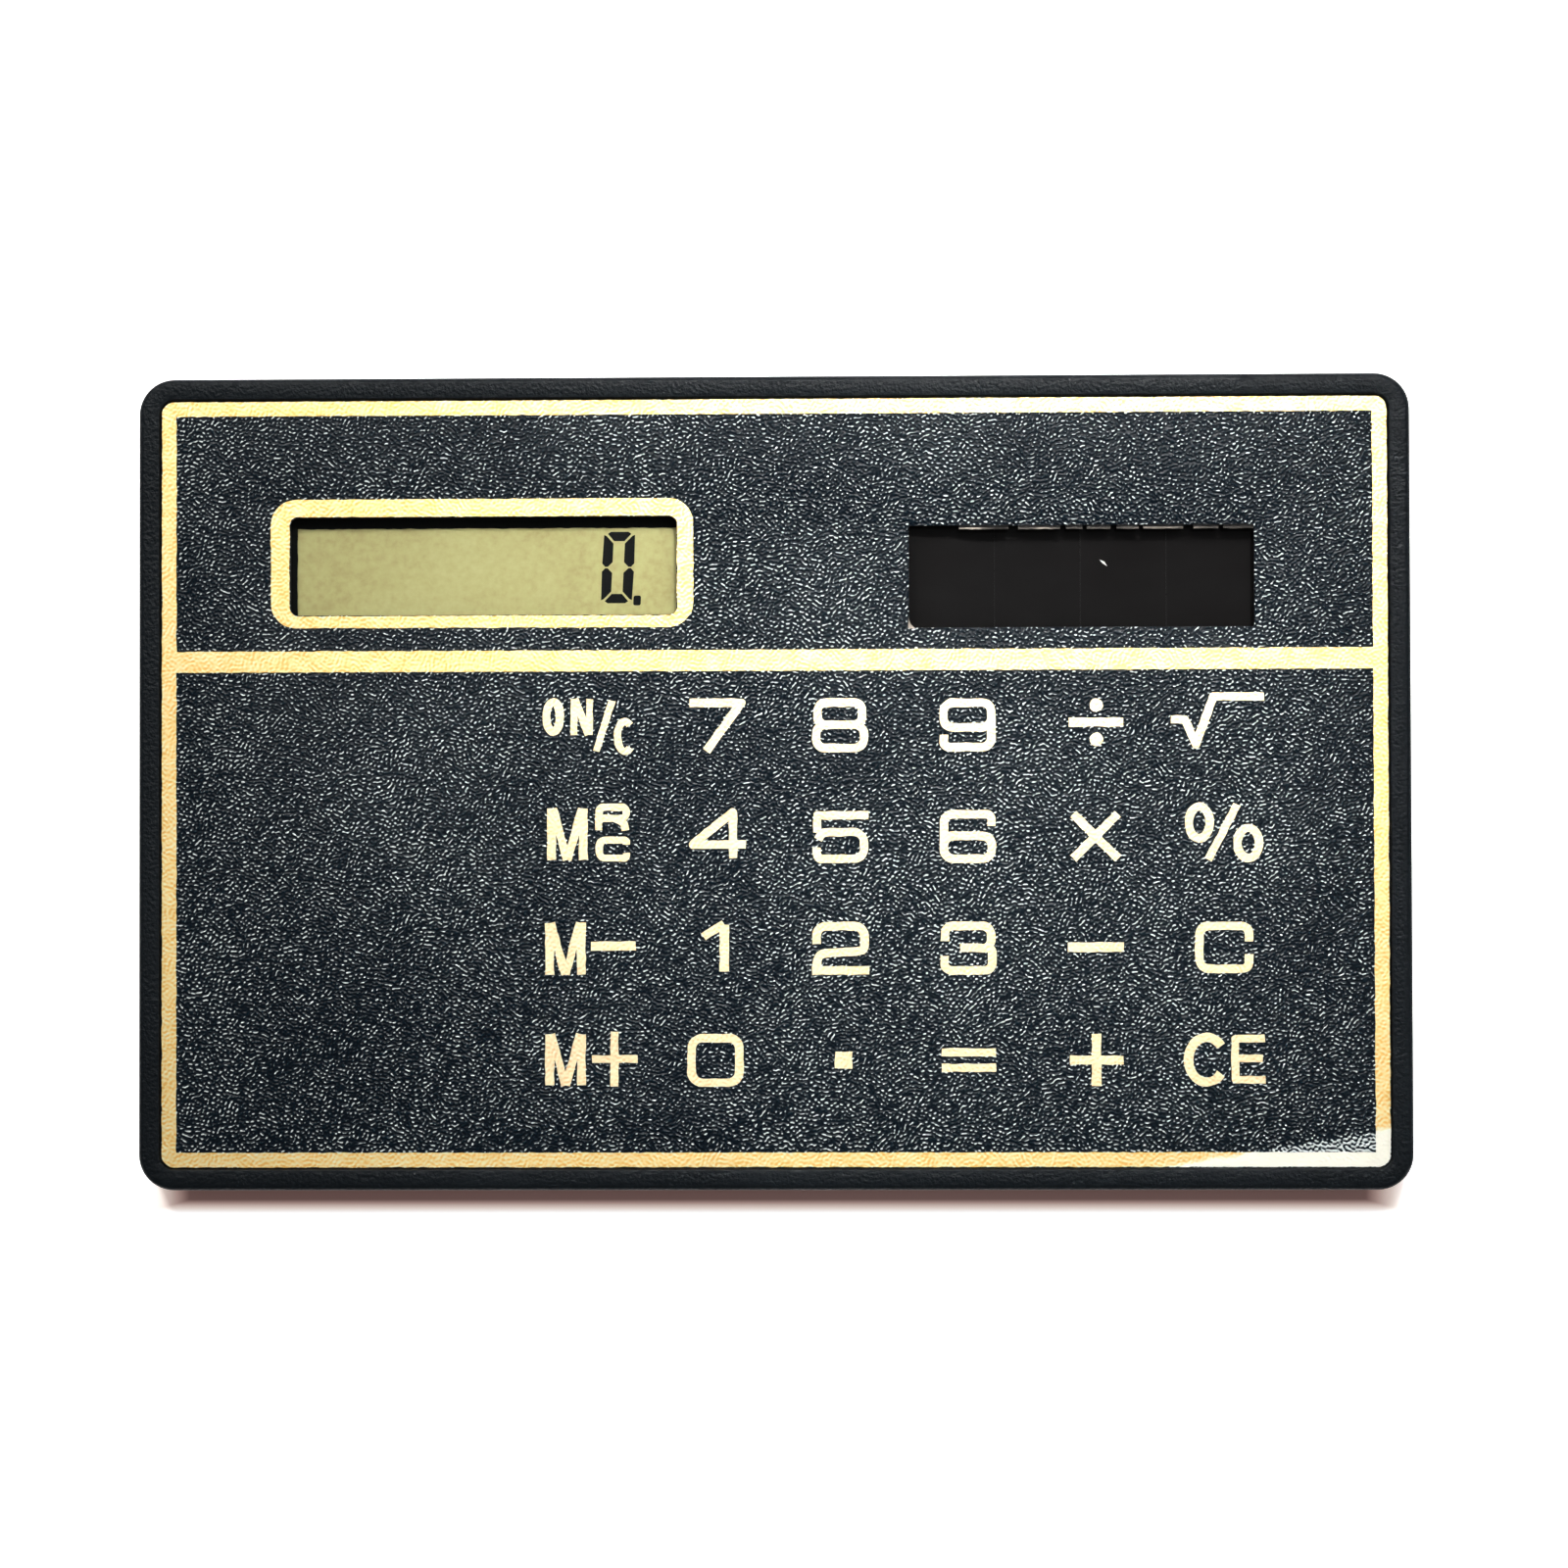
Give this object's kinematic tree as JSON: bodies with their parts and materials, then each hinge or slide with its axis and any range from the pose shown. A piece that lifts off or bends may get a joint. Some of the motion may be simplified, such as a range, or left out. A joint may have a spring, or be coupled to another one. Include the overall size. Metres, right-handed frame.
{
  "type": "pocket calculator",
  "caption": "Card-size solar calculator: framed flat body with a grained face film, flush pressing keys on a rubber mat, a segment display and a solar window.",
  "frame": {"origin": "the middle of the underside, on the surface that the calculator lies on", "axes": "+X along the rows of keys, towards the user's right; +Y from the lowest row of keys towards the display; +Z out of the face"},
  "size_m": [0.086, 0.055, 0.0038],
  "materials": {
    "frame_plastic": "fine satin moulded plastic, charcoal",
    "cover_plastic": "fine matte texture, charcoal",
    "plate_plastic": "matte, charcoal",
    "face_film": "leather-grained grey film with gold printing",
    "adhesive": "translucent adhesive film",
    "tape": "white double-sided tape",
    "silicone": "matte silicone rubber",
    "carbon": "matte conductive rubber",
    "zebra_rubber": "layered conductive rubber",
    "circuit_board": "green solder mask",
    "resin": "glossy black epoxy",
    "silicon": "polished silicon",
    "capacitor_case": "moulded epoxy with tinned ends",
    "ceramic": "fired ceramic with tinned ends",
    "resistor_body": "coated ceramic with tinned ends",
    "diode_body": "clear moulded epoxy with tinned ends",
    "clear_glass": "clear polished glass",
    "seal": "epoxy seal",
    "polariser": "olive-grey film, low gloss",
    "reflector": "film with a pale reflector",
    "solar_glass": "dark glass, nearly black",
    "solar_film": "dark amorphous silicon film",
    "red_insulation": "insulated wire",
    "black_insulation": "insulated wire",
    "solder": "bright solder"
  },
  "bodies": {
    "body": {"case_frame": "frame_plastic", "face_plate": "plate_plastic", "rear_cover": "cover_plastic", "rear_adhesive": "adhesive", "face_film": "face_film", "film_adhesive": "adhesive", "key_mat": "silicone", "contact_pills": "carbon", "circuit_board": "circuit_board", "chip_encapsulant": "resin", "calculator_chip": "silicon", "storage_capacitor": "capacitor_case", "filter_capacitors": "ceramic", "resistors": "resistor_body", "clamp_diode": "diode_body", "lcd_front_glass": "clear_glass", "lcd_rear_glass": "clear_glass", "lcd_seal": "seal", "lcd_front_polariser": "polariser", "lcd_rear_polariser": "reflector", "lcd_tape": "tape", "zebra_strip": "zebra_rubber", "solar_glass": "solar_glass", "solar_film": "solar_film", "solar_tape": "tape", "solar_lead_positive": "red_insulation", "solar_lead_negative": "black_insulation", "solder_joints": "solder"},
    "key_on_c_body": {"key_on_c": "face_film"},
    "key_7_body": {"key_7": "face_film"},
    "key_8_body": {"key_8": "face_film"},
    "key_9_body": {"key_9": "face_film"},
    "key_divide_body": {"key_divide": "face_film"},
    "key_root_body": {"key_root": "face_film"},
    "key_mrc_body": {"key_mrc": "face_film"},
    "key_4_body": {"key_4": "face_film"},
    "key_5_body": {"key_5": "face_film"},
    "key_6_body": {"key_6": "face_film"},
    "key_multiply_body": {"key_multiply": "face_film"},
    "key_percent_body": {"key_percent": "face_film"},
    "key_m_minus_body": {"key_m_minus": "face_film"},
    "key_1_body": {"key_1": "face_film"},
    "key_2_body": {"key_2": "face_film"},
    "key_3_body": {"key_3": "face_film"},
    "key_minus_body": {"key_minus": "face_film"},
    "key_c_body": {"key_c": "face_film"},
    "key_m_plus_body": {"key_m_plus": "face_film"},
    "key_0_body": {"key_0": "face_film"},
    "key_point_body": {"key_point": "face_film"},
    "key_equals_body": {"key_equals": "face_film"},
    "key_plus_body": {"key_plus": "face_film"},
    "key_ce_body": {"key_ce": "face_film"}
  },
  "joints": [
    {"name": "key_on_c_press", "type": "slide", "parent": "body", "child": "key_on_c_body", "axis": [0, 0, -1], "range_m": [0, 0.0003], "stiffness_N_per_m": 2500, "deforming": ["key_mat", "contact_pills"]},
    {"name": "key_7_press", "type": "slide", "parent": "body", "child": "key_7_body", "axis": [0, 0, -1], "range_m": [0, 0.0003], "stiffness_N_per_m": 2500, "deforming": ["key_mat", "contact_pills"]},
    {"name": "key_8_press", "type": "slide", "parent": "body", "child": "key_8_body", "axis": [0, 0, -1], "range_m": [0, 0.0003], "stiffness_N_per_m": 2500, "deforming": ["key_mat", "contact_pills"]},
    {"name": "key_9_press", "type": "slide", "parent": "body", "child": "key_9_body", "axis": [0, 0, -1], "range_m": [0, 0.0003], "stiffness_N_per_m": 2500, "deforming": ["key_mat", "contact_pills"]},
    {"name": "key_divide_press", "type": "slide", "parent": "body", "child": "key_divide_body", "axis": [0, 0, -1], "range_m": [0, 0.0003], "stiffness_N_per_m": 2500, "deforming": ["key_mat", "contact_pills"]},
    {"name": "key_root_press", "type": "slide", "parent": "body", "child": "key_root_body", "axis": [0, 0, -1], "range_m": [0, 0.0003], "stiffness_N_per_m": 2500, "deforming": ["key_mat", "contact_pills"]},
    {"name": "key_mrc_press", "type": "slide", "parent": "body", "child": "key_mrc_body", "axis": [0, 0, -1], "range_m": [0, 0.0003], "stiffness_N_per_m": 2500, "deforming": ["key_mat", "contact_pills"]},
    {"name": "key_4_press", "type": "slide", "parent": "body", "child": "key_4_body", "axis": [0, 0, -1], "range_m": [0, 0.0003], "stiffness_N_per_m": 2500, "deforming": ["key_mat", "contact_pills"]},
    {"name": "key_5_press", "type": "slide", "parent": "body", "child": "key_5_body", "axis": [0, 0, -1], "range_m": [0, 0.0003], "stiffness_N_per_m": 2500, "deforming": ["key_mat", "contact_pills"]},
    {"name": "key_6_press", "type": "slide", "parent": "body", "child": "key_6_body", "axis": [0, 0, -1], "range_m": [0, 0.0003], "stiffness_N_per_m": 2500, "deforming": ["key_mat", "contact_pills"]},
    {"name": "key_multiply_press", "type": "slide", "parent": "body", "child": "key_multiply_body", "axis": [0, 0, -1], "range_m": [0, 0.0003], "stiffness_N_per_m": 2500, "deforming": ["key_mat", "contact_pills"]},
    {"name": "key_percent_press", "type": "slide", "parent": "body", "child": "key_percent_body", "axis": [0, 0, -1], "range_m": [0, 0.0003], "stiffness_N_per_m": 2500, "deforming": ["key_mat", "contact_pills"]},
    {"name": "key_m_minus_press", "type": "slide", "parent": "body", "child": "key_m_minus_body", "axis": [0, 0, -1], "range_m": [0, 0.0003], "stiffness_N_per_m": 2500, "deforming": ["key_mat", "contact_pills"]},
    {"name": "key_1_press", "type": "slide", "parent": "body", "child": "key_1_body", "axis": [0, 0, -1], "range_m": [0, 0.0003], "stiffness_N_per_m": 2500, "deforming": ["key_mat", "contact_pills"]},
    {"name": "key_2_press", "type": "slide", "parent": "body", "child": "key_2_body", "axis": [0, 0, -1], "range_m": [0, 0.0003], "stiffness_N_per_m": 2500, "deforming": ["key_mat", "contact_pills"]},
    {"name": "key_3_press", "type": "slide", "parent": "body", "child": "key_3_body", "axis": [0, 0, -1], "range_m": [0, 0.0003], "stiffness_N_per_m": 2500, "deforming": ["key_mat", "contact_pills"]},
    {"name": "key_minus_press", "type": "slide", "parent": "body", "child": "key_minus_body", "axis": [0, 0, -1], "range_m": [0, 0.0003], "stiffness_N_per_m": 2500, "deforming": ["key_mat", "contact_pills"]},
    {"name": "key_c_press", "type": "slide", "parent": "body", "child": "key_c_body", "axis": [0, 0, -1], "range_m": [0, 0.0003], "stiffness_N_per_m": 2500, "deforming": ["key_mat", "contact_pills"]},
    {"name": "key_m_plus_press", "type": "slide", "parent": "body", "child": "key_m_plus_body", "axis": [0, 0, -1], "range_m": [0, 0.0003], "stiffness_N_per_m": 2500, "deforming": ["key_mat", "contact_pills"]},
    {"name": "key_0_press", "type": "slide", "parent": "body", "child": "key_0_body", "axis": [0, 0, -1], "range_m": [0, 0.0003], "stiffness_N_per_m": 2500, "deforming": ["key_mat", "contact_pills"]},
    {"name": "key_point_press", "type": "slide", "parent": "body", "child": "key_point_body", "axis": [0, 0, -1], "range_m": [0, 0.0003], "stiffness_N_per_m": 2500, "deforming": ["key_mat", "contact_pills"]},
    {"name": "key_equals_press", "type": "slide", "parent": "body", "child": "key_equals_body", "axis": [0, 0, -1], "range_m": [0, 0.0003], "stiffness_N_per_m": 2500, "deforming": ["key_mat", "contact_pills"]},
    {"name": "key_plus_press", "type": "slide", "parent": "body", "child": "key_plus_body", "axis": [0, 0, -1], "range_m": [0, 0.0003], "stiffness_N_per_m": 2500, "deforming": ["key_mat", "contact_pills"]},
    {"name": "key_ce_press", "type": "slide", "parent": "body", "child": "key_ce_body", "axis": [0, 0, -1], "range_m": [0, 0.0003], "stiffness_N_per_m": 2500, "deforming": ["key_mat", "contact_pills"]}
  ]
}
